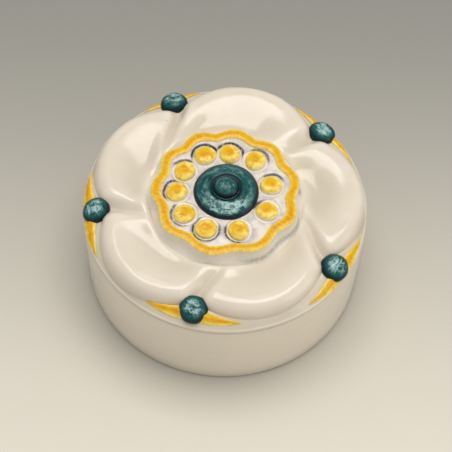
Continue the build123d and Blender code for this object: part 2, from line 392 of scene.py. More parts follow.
class Graph:
    """Short hand for building a node material."""

    def __init__(self, name):
        self.material = bpy.data.materials.get(name) or bpy.data.materials.new(name)
        self.material.use_nodes = True
        self.tree = self.material.node_tree
        self.tree.nodes.clear()
        self.output = self.tree.nodes.new("ShaderNodeOutputMaterial")
        self.shader = self.tree.nodes.new("ShaderNodeBsdfPrincipled")
        self.link(self.shader.outputs["BSDF"], self.output.inputs["Surface"])

    def link(self, source, target):
        """Link a socket, or set a plain value, on a target socket."""
        if isinstance(source, bpy.types.NodeSocket):
            self.tree.links.new(source, target)
        else:
            target.default_value = source

    def add(self, kind, settings=None, **inputs):
        """Add a node with settings on the node and links or values on its inputs."""
        node = self.tree.nodes.new("ShaderNode" + kind)
        for key, value in (settings or {}).items():
            setattr(node, key, value)
        for key, value in inputs.items():
            self.link(value, node.inputs[key.replace("_", " ")])
        return node

    def place(self):
        """Object coordinates."""
        return self.add("TexCoord").outputs["Object"]

    def attribute(self, name, output="Fac"):
        """A value stored on the piece's own mesh."""
        return self.add("Attribute", {"attribute_name": name}).outputs[output]

    def noise(self, size, detail=4.0, roughness=0.55, vector=None, distortion=0.0):
        """Noise with features of about one size in metres, from 0 to 1."""
        node = self.add(
            "TexNoise", Vector=vector or self.place(), Scale=1.0 / size, Detail=detail,
            Roughness=roughness, Distortion=distortion)
        return node.outputs["Fac"]

    def math(self, operation, first, second=0.0, clamp=False):
        """One operation on two values."""
        node = self.tree.nodes.new("ShaderNodeMath")
        node.operation = operation
        node.use_clamp = clamp
        self.link(first, node.inputs[0])
        self.link(second, node.inputs[1])
        return node.outputs[0]

    def times(self, first, second):
        """Product of two values."""
        return self.math("MULTIPLY", first, second)

    def ramp(self, value, low, high, start=0.0, end=1.0):
        """Value carried smoothly from the range low to high into the range start to end."""
        node = self.add("MapRange", {"interpolation_type": "SMOOTHSTEP"})
        for socket, number in zip(node.inputs[:5], (value, low, high, start, end)):
            self.link(number, socket)
        return node.outputs["Result"]

    def mix(self, share, first, second):
        """Mix of two colours."""
        node = self.add("Mix", {"data_type": "RGBA"})
        self.link(share, node.inputs[0])
        for socket, value in ((node.inputs[6], first), (node.inputs[7], second)):
            self.link(value if isinstance(value, bpy.types.NodeSocket) else (*value, 1.0), socket)
        return node.outputs[2]

    def bump(self, height, distance, normal=None):
        """Bump of a height from 0 to 1 over a distance in metres."""
        node = self.add("Bump", Height=height, Distance=distance, Strength=1.0)
        if normal is not None:
            self.link(normal, node.inputs["Normal"])
        return node.outputs["Normal"]

    def set(self, **inputs):
        """Set or link inputs of the shader."""
        for key, value in inputs.items():
            self.link(value, self.shader.inputs[key.replace("_", " ")])


def scaled(tint, shares):
    """A colour with its channels scaled, none over 1."""
    return np.minimum(np.array(tint) * shares, 1.0)


def glaze_surface(graph, ripple=0.04 * MM):
    """Orange-peel ripple, a wide noise and a fine one, and an uneven gloss, shared by every glaze."""
    wide = graph.bump(graph.noise(3.2 * MM, detail=2.0), ripple * 3.0)
    fine = graph.bump(graph.noise(0.5 * MM, detail=2.0), ripple * 0.4, wide)
    graph.set(Normal=fine, IOR=1.5)
    return graph.ramp(graph.noise(6.0 * MM, detail=5.0), 0.3, 0.75, 0.11, 0.21)


def ivory_material():
    """Pale glaze: warm mottling, thin on edges, grey where it pools, with painted light and shade, specks,
    dark painted shade lines and clay.
    """
    tints = glazes()
    graph = Graph("ivory_glaze")
    mottle = graph.ramp(graph.noise(14.0 * MM, detail=5.0), 0.3, 0.7)
    cloud = graph.mix(mottle, tints.ivory, scaled(tints.ivory, (1.06, 1.07, 1.10)))
    blush = graph.ramp(graph.noise(7.0 * MM, detail=3.0, distortion=0.8), 0.48, 0.72, 0.0, 0.30)
    cloud = graph.mix(blush, cloud, scaled(tints.ivory, (0.94, 0.91, 0.97)))
    # The proud mark pales the glaze: thin glaze over the lid's crests, and painted highlight and painted
    # light on the dish
    thin = graph.mix(graph.times(graph.attribute("proud"), 0.8), cloud, tints.ivory_thin)
    # The hollow mark greys it: glaze pooled in the lid's creases, and painted shade on the lid and the dish
    pooled = graph.mix(graph.times(graph.attribute("hollow"), 0.50), thin, tints.ivory_pool_and_shade)
    cells = graph.add("TexVoronoi", Vector=graph.place(), Scale=1.0 / (5.0 * MM), Randomness=1.0)
    near = graph.ramp(cells.outputs["Distance"], 0.03, 0.07, 1.0, 0.0)
    rare = graph.ramp(graph.noise(9.0 * MM, detail=0.0), 0.60, 0.63)
    specks = graph.times(graph.times(near, rare), 0.55)
    spotted = graph.mix(specks, pooled, (0.20, 0.13, 0.07))
    # Painted shade: dark lines along the seam and a painted contact shadow round the foot
    painted_shade = graph.times(graph.attribute("line"), graph.ramp(mottle, 0.0, 1.0, 0.75, 1.0))
    spotted = graph.mix(painted_shade, spotted, (0.13, 0.10, 0.065))
    bare = graph.attribute("bare")
    grain = graph.noise(0.35 * MM, detail=3.0)
    clay = graph.mix(grain, scaled(tints.clay, 0.86), tints.clay)
    gloss = glaze_surface(graph, 0.005 * MM)
    rough = graph.add("Mix")
    for socket, value in zip((rough.inputs[0], rough.inputs[2], rough.inputs[3]), (bare, gloss, 0.78)):
        graph.link(value, socket)
    graph.set(Base_Color=graph.mix(bare, spotted, clay), Roughness=rough.outputs[0])
    return graph.material


def yellow_material():
    """Golden glaze: orange streaks where it is thick, paler at its edges, with a pale rim of bare slip.

    Noise along the piece's own brush coordinates parts the streaks, and a finer noise sets brown
    flecks into the edges.
    """
    tints = glazes()
    graph = Graph("yellow_glaze")
    brush = graph.attribute("brush", "Vector")
    patch = graph.noise(1.0, detail=5.0, roughness=0.6, vector=brush, distortion=0.7)
    thick = graph.times(graph.attribute("thick"), graph.ramp(patch, 0.40, 0.58))
    body = graph.mix(thick, tints.yellow, tints.yellow_thick)
    edge = graph.times(graph.attribute("edge"), graph.ramp(patch, 0.70, 0.35))
    pale = graph.mix(edge, body, tints.yellow_thin)
    pale = graph.mix(graph.attribute("slip"), pale, tints.ivory_thin)
    fleck = graph.ramp(graph.noise(1.3 * MM, detail=3.0, distortion=1.5), 0.56, 0.70)
    rim = graph.times(fleck, graph.attribute("edge"))
    stained = graph.mix(graph.times(rim, 0.45), pale, (0.30, 0.20, 0.02))
    graph.set(Base_Color=stained, Roughness=glaze_surface(graph), Specular_IOR_Level=0.22)
    return graph.material


def teal_material():
    """Dark teal glaze: two noises added, light where they are high on a crest and on the boss's painted
    highlight, dark where low or pooled.
    """
    tints = glazes()
    graph = Graph("teal_glaze")
    brush = graph.attribute("brush", "Vector")
    streak = graph.noise(1.0, detail=5.0, roughness=0.65, vector=brush, distortion=0.8)
    mottle = graph.noise(1.3 * MM, detail=4.0, roughness=0.7, distortion=1.2)
    both = graph.math("ADD", graph.times(streak, 0.6), graph.times(mottle, 0.4))
    crest = graph.attribute("crest")
    raised = graph.math("ADD", both, graph.times(crest, 0.08))
    light = graph.times(graph.ramp(raised, 0.50, 0.66), crest)
    dark = graph.math("MAXIMUM", graph.ramp(both, 0.47, 0.34), graph.attribute("pool"))
    body = graph.mix(dark, tints.teal, tints.teal_dark)
    graph.set(Base_Color=graph.mix(light, body, tints.teal_thin), Roughness=glaze_surface(graph, 0.06 * MM))
    graph.set(Specular_IOR_Level=0.24)
    return graph.material


def ground_material():
    """Pale ground of the disc: a lilac wash between the beads and dark outlines round the sockets, with
    painted shade on the disc's wall.
    """
    tints = glazes()
    graph = Graph("white_slip")
    wash = graph.noise(2.4 * MM, detail=4.0)
    lilac = graph.times(graph.attribute("wash"), graph.ramp(wash, 0.35, 0.65, 0.15, 0.9))
    ground = graph.mix(lilac, tints.ivory_thin, tints.lilac)
    broken = graph.ramp(graph.noise(0.9 * MM, detail=3.0, distortion=0.5), 0.25, 0.50, 0.0, 0.86)
    ink = graph.math("MULTIPLY", graph.attribute("ink"), broken, clamp=True)
    graph.set(Base_Color=graph.mix(ink, ground, tints.ink), Roughness=glaze_surface(graph))
    return graph.material


def paste_material():
    """Soft oily cinnabar paste with a fibrous grain."""
    tints = glazes()
    graph = Graph("cinnabar_paste")
    fibre = graph.noise(0.7 * MM, detail=6.0, roughness=0.7, distortion=2.5)
    dark = graph.mix(fibre, scaled(tints.paste, 0.62), tints.paste)
    lit = graph.mix(graph.attribute("proud"), dark, scaled(tints.paste, 1.3))
    grain = graph.bump(fibre, 0.16 * MM)
    lumps = graph.bump(graph.noise(2.2 * MM, detail=3.0), 0.25 * MM, grain)
    gloss = graph.ramp(graph.noise(3.0 * MM, detail=4.0), 0.3, 0.7, 0.36, 0.60)
    graph.set(Base_Color=lit, Roughness=gloss, Normal=lumps, IOR=1.47, Subsurface_Weight=0.08)
    graph.set(Specular_IOR_Level=0.3)
    graph.set(Subsurface_Radius=(1.0, 0.2, 0.1), Subsurface_Scale=0.8 * MM)
    return graph.material


def floor_material():
    """Plain matt paper with painted shade that darkens it gently towards the back."""
    tints = glazes()
    graph = Graph("floor_paper")
    across = graph.add("SeparateXYZ", Vector=graph.place()).outputs["Y"]
    depth = graph.ramp(across, -0.09, 0.11)
    # Painted shade: a darker copy of the floor colour for the back
    far = scaled(tints.floor, (0.36, 0.375, 0.395))
    fibre = graph.noise(1.5 * MM, detail=4.0)
    graph.set(Base_Color=graph.mix(depth, tints.floor, far), Roughness=0.8, Specular_IOR_Level=0.15)
    graph.set(Normal=graph.bump(fibre, 0.03 * MM))
    return graph.material


def petal_creases():
    """Azimuths of the creases, one through each rim bead, in rising order, and each one's bead."""
    places = np.array([azimuth(node) % math.tau for node in RIM_BEADS])
    order = np.argsort(places)
    return places[order], order


def petal_frame(turn):
    """For each azimuth, its petal's middle azimuth, half the petal's spread and the petal's reach."""
    creases, order = petal_creases()
    after = np.append(creases[1:], creases[0] + math.tau)
    index = np.searchsorted(creases, turn % math.tau) - 1
    reach = BOX_RADIUS - PETAL_SETBACKS[np.roll(order, -1)]
    return ((creases + after) / 2.0)[index], ((after - creases) / 2.0)[index], reach[index]


def crease_curl(radius, turn):
    """How far the flower is turned: a crease's curl times a power of the share of the way in.

    The way in runs from the notch to the disc. Between two creases the curl changes evenly.
    """
    creases, order = petal_creases()
    curl = np.interp(turn, creases, np.radians(CREASE_CURLS)[order], period=math.tau)
    inwards = np.clip((PETAL_NOTCH - radius) / (PETAL_NOTCH - DISC_RADIUS), 0.0, 1.0)
    return curl * inwards**1.6


def ledge_height(radius):
    """Height of the lid's ledge: a cone with a slight sine belly, less a bell that is deepest at the rim."""
    inwards = BOX_RADIUS - radius
    share = np.clip(inwards / LEDGE_WIDTH, 0.0, 1.0)
    cone = SEAM + RIM_RISE + LEDGE_RISE * share
    fall = LEDGE_FALL * bell(inwards, 0.0, LEDGE_FALL_WIDTH, 1.5)
    return cone + LEDGE_BELLY * np.sin(math.pi * share) - fall


def petal_outline(turn):
    """Radius of the petals' outline: a circle through the petal's tip and its two notches."""
    middle, half, tip = petal_frame(turn)
    off = wrap(turn - middle)
    centre = (tip**2 - PETAL_NOTCH**2) / (2.0 * (tip - PETAL_NOTCH * np.cos(half)))
    size = tip - centre
    reach = centre * np.cos(off) + np.sqrt(size**2 - (centre * np.sin(off)) ** 2)
    return reach, centre, size, off, half


def petal_height(radius, turn):
    """Height of the flower: a dished top less a roll at the outline and a roll at each crease.

    The roll at the outline drops to the ledge by a mix of a superellipse and a power of the share of
    the way out. The roll at a crease drops by a mix of a circle and half a cosine wave, and its depth
    grows from the disc to the notch. The ledge shows where it is the higher, with a rounded corner.
    """
    size = sizes()
    _, centre, arc, off, half = petal_outline(turn)
    inside = arc - np.hypot(radius * np.cos(off) - centre, radius * np.sin(off))
    beside = radius * np.sin(half - np.abs(off))
    out = (radius - DISC_RADIUS) / (PETAL_NOTCH - DISC_RADIUS)
    deep = smooth_step((inside - 0.9 * size.petal_roll) / DISHED_WIDTH)
    wide = smooth_step((beside - CREASE_REST) / CREASE_WIDTH)
    top = PETAL_TOP - size.dish_depth * deep * (0.55 + 0.45 * wide)
    outer = np.clip(1.0 - inside / size.petal_roll, 0.0, 1.0)
    side = np.clip(1.0 - beside / size.crease_roll, 0.0, 1.0)
    superellipse = 1.0 - (1.0 - outer**ROLL_FULLNESS) ** (1.0 / ROLL_FULLNESS)
    outer_drop = 0.72 * superellipse + 0.28 * outer**2.6
    circle = 1.0 - np.sqrt(1.0 - 0.97 * side**2)
    side_drop = 0.35 * circle + 0.65 * (0.5 - 0.5 * np.cos(math.pi * side))
    crease = size.crease_depth + (size.notch_depth - size.crease_depth) * smooth_step(out)
    foot = PETAL_TOP - ledge_height(radius) + ROLL_SINK
    drop = foot * outer_drop + crease * side_drop * (1.0 - outer_drop)
    return smooth_max(top - drop, ledge_height(radius), LEDGE_CORNER)


def lid_columns():
    """Azimuths of the lid's columns: even shares of each petal less a sine, so closer by the creases."""
    creases = petal_creases()[0]
    after = np.append(creases[1:], creases[0] + math.tau)
    share = np.linspace(0.0, 1.0, 90, endpoint=False)
    eased = share - 0.11 * np.sin(math.tau * share)
    return (creases[:, None] + (after - creases)[:, None] * eased).ravel()[None, :]


def lid_relief(radius, turn):
    """Height of the lid's top, and the azimuths that the curl carries it to.

    Under the disc the petals give way to a flat bed. At the left a low fillet, a bell over the radius,
    runs up to the disc. Waves make the surface uneven, and rounds of averaging soften it.
    """
    seat = smooth_step((radius - DISC_RADIUS) / BED_RAMP)
    height = petal_height(radius, turn) * seat + DISC_BED * (1.0 - seat)
    curled = turn + crease_curl(radius, turn)
    leftwards = smooth_step((math.cos(0.4) + np.cos(curled - math.radians(205.0))) / 1.5)
    beside = bell(np.maximum(radius - FILLET_RADIUS, 0.0), 0.0, 3.0 * MM)
    beside = beside * smooth_step((radius - FILLET_RADIUS + 1.5 * MM) / MM)
    height = height + FILLET_RISE * leftwards * beside
    rough = waves(polar_grid(radius, height, curled), 16.0 * MM, SEED)
    height = soften(height + sizes().hand_wobble * rough * seat, 11)
    return np.minimum(height, PETAL_TOP), curled


def lid_underside():
    """Radius and height from the lid's lower rim over its seat and flange to the middle of its ceiling."""
    flange_out = BOX_RADIUS - DISH_WALL - LID_FIT_GAP
    flange_in = flange_out - FLANGE_WIDTH
    foot = LID_LOW.z + FLANGE_ROUND
    shoulder = SEAM + RIM_RISE + LEDGE_RISE - LID_WALL
    ceiling = DISC_SEAT - LID_WALL - CEILING_SINK
    slope_end = flange_in - CEILING_SLOPE_WIDTH
    return np.concatenate([
        arc_rows((BOX_RADIUS - ARRIS, SEAM + ARRIS), ARRIS, 0.0, -90.0, 6),
        line_rows((BOX_RADIUS - 1.4 * ARRIS, SEAM), (flange_out + 2.0 * NEAR, SEAM), 5),
        line_rows((flange_out, SEAM), (flange_out, foot), 4),
        arc_rows((flange_out - FLANGE_ROUND, foot), FLANGE_ROUND, 0.0, -90.0, 6),
        arc_rows((flange_in + FLANGE_ROUND, foot), FLANGE_ROUND, -90.0, -180.0, 6),
        line_rows((flange_in, foot + 0.1 * FLANGE_ROUND), (flange_in, shoulder - CEILING_ROUND), 4),
        arc_rows((flange_in - CEILING_ROUND, shoulder - CEILING_ROUND), CEILING_ROUND, 0.0, 80.0, 5),
        line_rows((flange_in - 1.5 * CEILING_ROUND, shoulder), (slope_end, ceiling), 6),
        line_rows((slope_end, ceiling), (POLE_RADIUS, ceiling), 10),
    ])


class SEALBOX_OT_lid(bpy.types.Operator):
    """Lid shell with five dished petals, a ledge, a seat and the flange that drops into the dish."""

    bl_idname = "seal_box.lid"
    bl_label = "Lid"

    def execute(self, context):
        turn = lid_columns()
        reach = petal_outline(turn)[0]
        rim = BOX_RADIUS - RIM_ROUND
        edge = np.minimum(reach, rim - RIM_MARGIN)
        radius = np.concatenate([
            column(0.03, 1.0, 14) * np.full_like(turn, DISC_RADIUS),
            DISC_RADIUS + (edge - DISC_RADIUS) * np.sin(column(0.0, 1.0, 84, 1) * math.pi / 2.0),
            edge + (rim - edge) * column(0.0, 1.0, 15, 1),
        ])
        height, curled = lid_relief(radius, turn)
        hollow, proud = relief_marks(height, 9)
        # Painted shade: the pooled-glaze colour darkens the dished middles, most of all on the right petal,
        # and the ledge
        dished = smooth_step((reach - radius - 5.0 * MM) / (7.0 * MM))
        dished = dished * smooth_step((radius - FILLET_RADIUS) / (4.0 * MM))
        right_petal_shade = 0.10 + 0.75 * bell(wrap(curled - math.radians(6.0)), 0.0, 0.5)
        ledge_shade = 0.9 * smooth_step((radius - reach + 0.6 * MM) / (1.4 * MM))
        hollow = np.clip(hollow + dished * right_petal_shade + ledge_shade, 0.0, 1.0)
        over = np.radians(column(15.0, 90.0, 7))
        low = SEAM + 1.2 * ARRIS
        drop = np.minimum(height[-1:] - low, RIM_DROP)
        side_top = height[-1:] - drop
        under = lid_underside()
        lower = np.concatenate([
            polar_grid(rim + RIM_ROUND * np.sin(over), height[-1:] - drop * (1.0 - np.cos(over)), turn),
            polar_grid(BOX_RADIUS, side_top + (low - side_top) * column(0.0, 1.0, 8, 1), turn),
            turned(under, turn),
        ])
        rings = np.concatenate([polar_grid(radius, height, curled), lower])
        seat_rows = np.abs(under[:, 1] - SEAM) < NEAR
        zero = np.zeros(lower.shape[:2])
        marks = {
            "hollow": np.concatenate([hollow, zero]),
            "proud": np.concatenate([proud, zero]),
            "bare": np.concatenate([np.zeros(len(rings) - len(under)), seat_rows])[:, None],
            # Painted shade: a dark line along the seam where the lid meets the dish
            "line": 0.7 * bell(rings[..., 2], SEAM, 0.24 * MM),
        }
        settle(make_mesh("lid", rings, ivory_material(), marks), "lid", "ivory_glaze", "lid_shell")
        return {"FINISHED"}


class SEALBOX_OT_dish(bpy.types.Operator):
    """Dish with faint throwing rings, a rounded lower edge, a bare foot ring and a bare mouth."""

    bl_idname = "seal_box.dish"
    bl_label = "Dish"

    def execute(self, context):
        turn = full_turn(360)
        base = BOX_RADIUS - BASE_TAPER
        foot_out = base - FOOT_SETBACK
        foot_in = foot_out - FOOT_WIDTH
        hollow_edge = (foot_in - FOOT_SLOPE, FOOT_LIFT)
        well = BOX_RADIUS - DISH_WALL
        floor = PASTE_LOW.z
        profile = np.concatenate([
            line_rows((POLE_RADIUS, floor), (well - DISH_CORNER, floor), 10),
            arc_rows((well - DISH_CORNER, floor + DISH_CORNER), DISH_CORNER, -90.0, 0.0, 12),
            line_rows((well, floor + 1.1 * DISH_CORNER), (well, SEAM - MOUTH_EDGE), 10),
            arc_rows((well + MOUTH_EDGE, SEAM - MOUTH_EDGE), MOUTH_EDGE, 180.0, 90.0, 6),
            line_rows((well + 1.2 * MOUTH_EDGE, SEAM), (BOX_RADIUS - 1.2 * ARRIS, SEAM), 6),
            arc_rows((BOX_RADIUS - ARRIS, SEAM - ARRIS), ARRIS, 90.0, 0.0, 7),
            line_rows((BOX_RADIUS, SEAM - 1.3 * ARRIS), (base, 2.0 * BASE_EDGE), 56),
            line_rows((base, 2.0 * BASE_EDGE), (base, BASE_EDGE), 4),
            arc_rows((base - BASE_EDGE, BASE_EDGE), BASE_EDGE, 0.0, -86.0, 12),
            line_rows((foot_out, 0.0), (foot_in, 0.0), 6),
            line_rows((foot_in, 0.0), hollow_edge, 4),
            line_rows(hollow_edge, (POLE_RADIUS, FOOT_LIFT), 10),
        ])[::-1]
        radius, height = profile[:, :1], profile[:, 1:]
        wall = smooth_step((radius - well - 0.6 * DISH_WALL) / (0.2 * DISH_WALL))
        wall = wall * smooth_step(height / (6.0 * MM)) * smooth_step((SEAM - height) / (2.0 * MM))
        throwing = THROWING_DEPTH * (1.0 + np.sin(math.tau * height / THROWING_PITCH + 1.2 * np.sin(turn)))
        wave = waves(polar_grid(BOX_RADIUS, height, turn), 24.0 * MM, SEED + 1)
        sink = wall * (throwing + 0.5 * sizes().hand_wobble * (1.4 + wave))
        outside = radius > foot_out
        flat_foot = (height < NEAR) & (radius > foot_in - 2.0 * NEAR)
        mouth = (height > SEAM - NEAR) & (radius > well)
        # Painted highlight: a pale line on the rim's edge just under the seam
        edge = bell(height, SEAM - 0.3 * MM, 0.45 * MM) * (radius > BOX_RADIUS - ARRIS)
        # Painted contact shadow: darkest at the floor, fading up the wall
        contact_shadow = np.exp(-np.maximum(height - 0.55 * MM, 0.0) / (0.2 * MM)) * outside
        marks = {
            # Painted shade: the pooled-glaze colour darkens a band low on the outer wall
            "hollow": 0.5 * bell(height, 1.2 * MM, 1.6 * MM) * outside,
            # Painted light: the rim's highlight, and the outer wall paled as if lit from the floor
            "proud": np.maximum(edge, 0.65 * wall),
            "bare": flat_foot | mouth,
            # Painted shade: the contact shadow at the foot and a dark line at the seam
            "line": 0.95 * contact_shadow + 0.5 * bell(height, SEAM, 0.2 * MM),
        }
        rings = polar_grid(radius - sink, height, turn)
        settle(make_mesh("dish", rings, ivory_material(), marks), "base", "ivory_glaze", "base_dish")
        return {"FINISHED"}


class SEALBOX_OT_paste(bpy.types.Operator):
    """Cake of paste, heaped and stirred into a low spiral of soft ridges."""

    bl_idname = "seal_box.paste"
    bl_label = "Paste"

    def execute(self, context):
        turn = full_turn(320)
        side, crown, low = PASTE_HIGH.x, PASTE_HIGH.z, PASTE_LOW.z
        share = column(0.02, 1.0, 96)
        radius = side * share
        swirl = np.sin(5.0 * turn + radius / PASTE_RIDGE_PITCH * math.pi)
        edge_fall = PASTE_EDGE_FALL * smooth_step((share - 0.93) / 0.07) ** 2
        heap = crown - PASTE_HEADROOM - PASTE_FALL * share**3.2 - edge_fall
        lumps = waves(polar_grid(radius, heap, turn), 9.0 * MM, SEED + 2)
        ridges = PASTE_RIDGE * swirl * (1.0 - share) ** 0.4 * share**0.5
        height = np.minimum(heap + ridges + PASTE_LUMP * lumps * (1.0 - share**6), crown)
        below = np.concatenate([
            line_rows((side, crown - PASTE_SIDE_DROP), (side, low + DISH_CORNER), 6),
            arc_rows((side - DISH_CORNER, low + DISH_CORNER), DISH_CORNER, 0.0, -90.0, 8),
            line_rows((side - 1.1 * DISH_CORNER, low), (POLE_RADIUS, low), 6),
        ])
        rings = np.concatenate([
            polar_grid(radius - 0.25 * MM * share**8 * (1.0 + lumps), height, turn),
            turned(below, turn),
        ])
        proud = relief_marks(height, 6)[1]
        marks = {"proud": np.concatenate([proud, np.zeros((len(below), turn.size))])}
        piece = make_mesh("paste_cake", rings, paste_material(), marks)
        settle(piece, "base", "cinnabar_paste", "seal_paste")
        return {"FINISHED"}


def lobe_radius(turn, reach):
    """Scalloped outline: a reach less the lobes' depth, away from a power of one cosine hump to a lobe."""
    lobes = np.sort(np.radians(LOBE_AZIMUTHS) % math.tau)
    notches = (lobes + np.append(lobes[1:], lobes[0] + math.tau)) / 2.0
    before = np.append(notches[-1] - math.tau, notches[:-1])
    spot = before[0] + (turn - before[0]) % math.tau
    index = np.clip(np.searchsorted(notches, spot), 0, len(lobes) - 1)
    across = np.clip((spot - before[index]) / (notches[index] - before[index]), 0.0, 1.0)
    hump = 0.5 - 0.5 * np.cos(math.tau * across)
    return reach - LOBE_DEPTH * (1.0 - hump**0.8)


def nearest_bead(points):
    """Distance from each point to the nearest bead's middle, its azimuth round it and its number."""
    centres = np.array([box_centre(node)[:2] for node in ROSETTE_BEADS])
    gaps = points[..., None, :2] - centres
    away = np.linalg.norm(gaps, axis=-1)
    index = away.argmin(axis=-1)
    nearest = np.take_along_axis(away, index[..., None], -1)[..., 0]
    gap = np.take_along_axis(gaps, index[..., None, None], -2)[..., 0, :]
    return nearest, np.arctan2(gap[..., 1], gap[..., 0]), index


def disc_top(radius, turn):
    """Points of the disc's top with its drawn outlines and its wash, each from 0 to 1.

    A socket sinks round each bead by a smooth step. The outline is a bell over the distance from a
    line round the bead, which waves move a little, and it tapers towards the ends of its arc. The
    wash is strongest close to the beads.
    """
    flat = polar_grid(radius, DISC_HIGH.z, turn)
    nearest, around, index = nearest_bead(flat)
    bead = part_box("rosette_bead_01")
    bead_radius = (bead[1].x - bead[0].x) / 2.0
    socket = smooth_step((bead_radius + 0.9 * MM - nearest) / (0.7 * MM))
    middle, spread, strength = np.moveaxis(INK_ARCS[index], -1, 0)
    off = np.abs(wrap(around - np.radians(middle)))
    line = bead_radius + INK_GAP + INK_STRAY * waves(flat, 4.0 * MM, SEED + 4)
    taper = smooth_step((np.radians(spread) - off) / 0.6)
    drawn = bell(nearest, line, (0.16 + 0.26 * taper) * MM)
    crowd = smooth_step((WASH_REACH - nearest) / (2.4 * MM)) * smooth_step((nearest - bead_radius) / MM)
    height = DISC_HIGH.z - SOCKET_DEPTH * socket - INK_GROOVE * drawn
    return polar_grid(radius, height, turn), 1.25 * drawn * strength * taper, 0.9 * crowd


class SEALBOX_OT_disc(bpy.types.Operator):
    """Raised disc with a scalloped wall, a socket for each bead and dark drawn outlines."""

    bl_idname = "seal_box.disc"
    bl_label = "Scalloped disc"

    def execute(self, context):
        turn = full_turn(540)
        outline = lobe_radius(turn, DISC_RADIUS)
        radius = np.concatenate([
            column(0.1, 1.0, 6) * np.full_like(turn, DISC_INNER),
            DISC_INNER + (outline - DISC_EDGE - DISC_INNER) * column(0.0, 1.0, 56, 1),
        ])
        top, ink, wash = disc_top(radius, turn)
        over = np.radians(column(90.0, 6.0, 8))
        wall_top = DISC_HIGH.z - DISC_EDGE
        down = column(0.0, 1.0, 20, 1)
        lobed = outline - DISC_RADIUS + LOBE_DEPTH / 2.0
        widen = DISC_HIGH.x - 0.1 * MM + 0.25 * lobed - outline
        below = np.concatenate([
            polar_grid(outline - DISC_EDGE * (1.0 - np.cos(over)), wall_top + DISC_EDGE * np.sin(over), turn),
            polar_grid(outline + widen * down**2.4, wall_top + (DISC_BED - wall_top) * down, turn),
            polar_grid(DISC_UNDER * outline, DISC_BED, turn),
        ])
        # Sketched lines low on the wall at the lower right, and a painted shadow spot on the wall at the
        # right
        low_right = smooth_step((1.0 - np.abs(np.degrees(turn) - 318.0) / 44.0) / 0.5)
        shadow_spot = bell(np.degrees(turn), 7.0, 2.6)
        wall = slice(len(over), len(over) + len(down))
        sketch_and_shadow, grey = np.zeros((2, *below.shape[:2]))
        sketch_and_shadow[wall] = 0.5 * low_right * bell(down, 0.62, 0.13) + 0.9 * shadow_spot * bell(down, 0.35, 0.22)
        # Painted shade: the lilac wash darkens the wall towards its foot
        grey[wall] = 0.12 * column(0.2, 1.0, len(down))
        marks = {"ink": np.concatenate([ink, sketch_and_shadow]), "wash": np.concatenate([wash, grey])}
        piece = make_mesh("rosette_disc", np.concatenate([top, below]), ground_material(), marks)
        settle(piece, "lid", "white_slip", "scalloped_disc")
        return {"FINISHED"}


class SEALBOX_OT_band(bpy.types.Operator):
    """Thick wavy coil along the edge of the disc, squeezed a little unevenly by hand."""

    bl_idname = "seal_box.band"
    bl_label = "Wavy band"

    def execute(self, context):
        turn = full_turn(480)
        squeeze = waves(polar_grid(BOX_RADIUS, 0.0, turn), 20.0 * MM, SEED + 5)
        width = sizes().band_width * (1.0 + 0.09 * squeeze)
        middle = lobe_radius(turn, DISC_RADIUS + 0.05 * MM) - width / 2.0
        section = full_turn(28).T[::-1]
        across = np.sign(np.cos(section)) * np.abs(np.cos(section)) ** 0.75
        up = np.sign(np.sin(section)) * np.abs(np.sin(section)) ** 0.8
        rise = (BAND_HIGH.z - BAND_LOW.z) * (0.93 + 0.07 * squeeze)
        height = BAND_LOW.z + np.where(up > 0.0, up * rise, up * BAND_SINK)
        rings = polar_grid(middle + across * width / 2.0, np.minimum(height, BAND_HIGH.z), turn)
        marks = {
            "thick": smooth_step(1.15 - np.abs(across) * 1.5) * (up > 0.0) * (0.75 + 0.25 * squeeze),
            "edge": 0.85 * smooth_step((np.abs(across) - 0.35) / 0.5),
            "slip": 0.7 * smooth_step((np.abs(across) - 0.90) / 0.08) * (up > -0.5),
            "brush": polar_grid(BOX_RADIUS, across * 1.5 * MM, turn) / (1.6 * MM),
        }
        piece = make_mesh("wavy_band", rings, yellow_material(), marks, caps=False)
        settle(piece, "lid", "yellow_glaze", "scalloped_band")
        return {"FINISHED"}


def dome_rings(radius, base, rise, columns, rows, fullness):
    """Rings of a dome from its pole to its base: a superellipse of revolution, flat underneath."""
    slope = column(0.04, 1.0, rows) * math.pi / 2.0
    out = np.sin(slope) ** (2.0 / fullness)
    up = np.cos(slope) ** (2.0 / fullness)
    radii = np.concatenate([out, DOME_UNDER]) * radius
    heights = np.concatenate([base + up * rise, np.full_like(DOME_UNDER, base)])
    return radii, heights, full_turn(columns), np.concatenate([out, np.ones_like(DOME_UNDER)])


